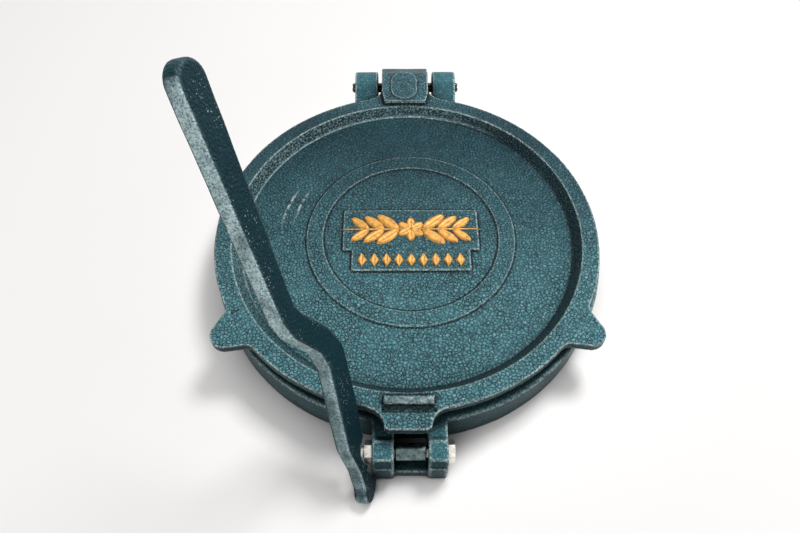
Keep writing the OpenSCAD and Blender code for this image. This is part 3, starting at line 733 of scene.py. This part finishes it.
class PRESS_OT_lid_casting(bpy.types.Operator):
    """Casts the lid with its ring, panel, lobes, nose and tongue, its wear pad rubbed bare"""

    bl_idname = "press.lid_casting"
    bl_label = "Lid casting"

    def execute(self, context):
        casting, enamel = context.scene.press_casting, context.scene.press_enamel
        mesh = casting_mesh("lid_plate", casting.lid_grid, casting)
        piece("lid_casting", mesh, worn_enamel(enamel, context.scene.press_metal), "lid", "lid_plate")
        return {"FINISHED"}


class PRESS_OT_lever_casting(bpy.types.Operator):
    """Casts the bent lever and brushes enamel on it"""

    bl_idname = "press.lever_casting"
    bl_label = "Lever casting"

    def execute(self, context):
        casting, enamel = context.scene.press_casting, context.scene.press_enamel
        mesh = casting_mesh("lever", casting.lever_grid, casting)
        piece("lever_casting", mesh, lever_enamel(enamel), "lever", "lever")
        return {"FINISHED"}


class PRESS_OT_metal_parts(bpy.types.Operator):
    """Gives the bolt, the nut, the roller and the hinge pin their metals and small bevels"""

    bl_idname = "press.metal_parts"
    bl_label = "Bolt, nut, roller and pin"

    def execute(self, context):
        metal = context.scene.press_metal
        zinc = zinc_plate(metal)
        finishes = {
            "clevis_bolt": (zinc, 0.25 * MM),
            "clevis_nut": (zinc, 0.25 * MM),
            "roller_sleeve": (turned_steel(metal), 0.15 * MM),
            "hinge_pin": (spring_steel(metal), 0.15 * MM),
        }
        for node, (material, bevel) in finishes.items():
            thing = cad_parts[node]
            thing.data.materials.clear()
            thing.data.materials.append(material)
            thing.modifiers.new("weld", "WELD").merge_threshold = WELD
            edge = thing.modifiers.new("bevel", "BEVEL")
            edge.width = bevel
            edge.segments = 3
            edge.limit_method = "ANGLE"
            edge.angle_limit = math.radians(25)
            edge.harden_normals = False
            thing.data.shade_smooth()
            thing.modifiers.new("normals", "WEIGHTED_NORMAL")
        return {"FINISHED"}


class PRESS_OT_sprig(bpy.types.Operator):
    """Raises a gilded sprig of leaves and a row of lozenges on the lid's plain panel"""

    bl_idname = "press.sprig"
    bl_label = "Gilded sprig"

    def execute(self, context):
        sprig = context.scene.press_sprig
        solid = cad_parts["lid_plate"].data
        lid = BVHTree.FromPolygons([v.co for v in solid.vertices], [f.vertices for f in solid.polygons])
        hit = lid.ray_cast(Vector((sprig.centre_x, sprig.upper_y, 1.0)), Vector((0, 0, -1)))[0]
        if hit is None:
            raise RuntimeError("the panel isn't under the sprig")
        form = bmesh.new()
        self.leaves(form, sprig, Vector((sprig.centre_x, sprig.upper_y, hit.z)))
        self.lozenges(form, sprig, Vector((sprig.centre_x, sprig.lower_y, hit.z)))
        mesh = bpy.data.meshes.new("gilded_sprig")
        form.to_mesh(mesh)
        form.free()
        mesh.shade_smooth()
        piece("gilded_sprig", mesh, gold_paint(sprig), "lid")
        return {"FINISHED"}

    @staticmethod
    def leaves(form, sprig, middle):
        """A stem with pairs of leaves that point outwards, and a rosette in the middle."""
        pairs, petals = 3, 6
        lean = math.radians(38)  # angle between a leaf and the stem
        stem = sprig.leaf_pitch * (pairs + 1.7)
        for side in (0, 1):
            outwards = math.pi * side
            leaf(form, middle, outwards, stem, sprig.stem_width, sprig, flatness=0.6)
            for k in range(pairs):
                root = middle + Vector(((1 - 2 * side) * sprig.leaf_pitch * (k + 0.75), 0, 0))
                shrink = 1 - 0.1 * k
                for turn in (-lean, lean):
                    leaf(form, root, outwards + turn, sprig.leaf * shrink, sprig.leaf_width * shrink, sprig)
        for k in range(petals):
            leaf(form, middle, 2 * math.pi * (k + 0.5) / petals, 0.5 * sprig.leaf, 0.8 * sprig.leaf_width, sprig)

    @staticmethod
    def lozenges(form, sprig, middle):
        """A row of upright lozenges."""
        count = 9
        for k in range(count):
            start = middle + Vector(((k - (count - 1) / 2) * sprig.lozenge_pitch, -0.5 * sprig.lozenge_tall, 0))
            leaf(form, start, math.pi / 2, sprig.lozenge_tall, sprig.lozenge, sprig, lozenge=True)


STEPS = (
    PRESS_OT_stage,
    PRESS_OT_base_casting,
    PRESS_OT_lid_casting,
    PRESS_OT_lever_casting,
    PRESS_OT_metal_parts,
    PRESS_OT_sprig,
)
GROUPS = {
    "press_casting": PressCasting,
    "press_enamel": PressEnamel,
    "press_metal": PressMetal,
    "press_sprig": PressSprig,
    "press_studio": PressStudio,
}


class PRESS_PT_looks(bpy.types.Panel):
    """The steps that dress the press"""

    bl_idname = "PRESS_PT_looks"
    bl_label = "Tortilla press"
    bl_space_type = "VIEW_3D"
    bl_region_type = "UI"
    bl_category = "Press"

    def draw(self, context):
        for step in STEPS:
            self.layout.operator(step.bl_idname)


def register():
    for group in GROUPS.values():
        bpy.utils.register_class(group)
    for name, group in GROUPS.items():
        setattr(bpy.types.Scene, name, bpy.props.PointerProperty(type=group))
    for step in (*STEPS, PRESS_PT_looks):
        bpy.utils.register_class(step)


def unregister():
    for step in (PRESS_PT_looks, *reversed(STEPS)):
        bpy.utils.unregister_class(step)
    for name in GROUPS:
        delattr(bpy.types.Scene, name)
    for group in reversed(GROUPS.values()):
        bpy.utils.unregister_class(group)


def main():
    """Registers the add-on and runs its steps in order."""
    register()
    for step in STEPS:
        group, name = step.bl_idname.split(".")
        getattr(getattr(bpy.ops, group), name)()


if __name__ == "__main__":
    main()
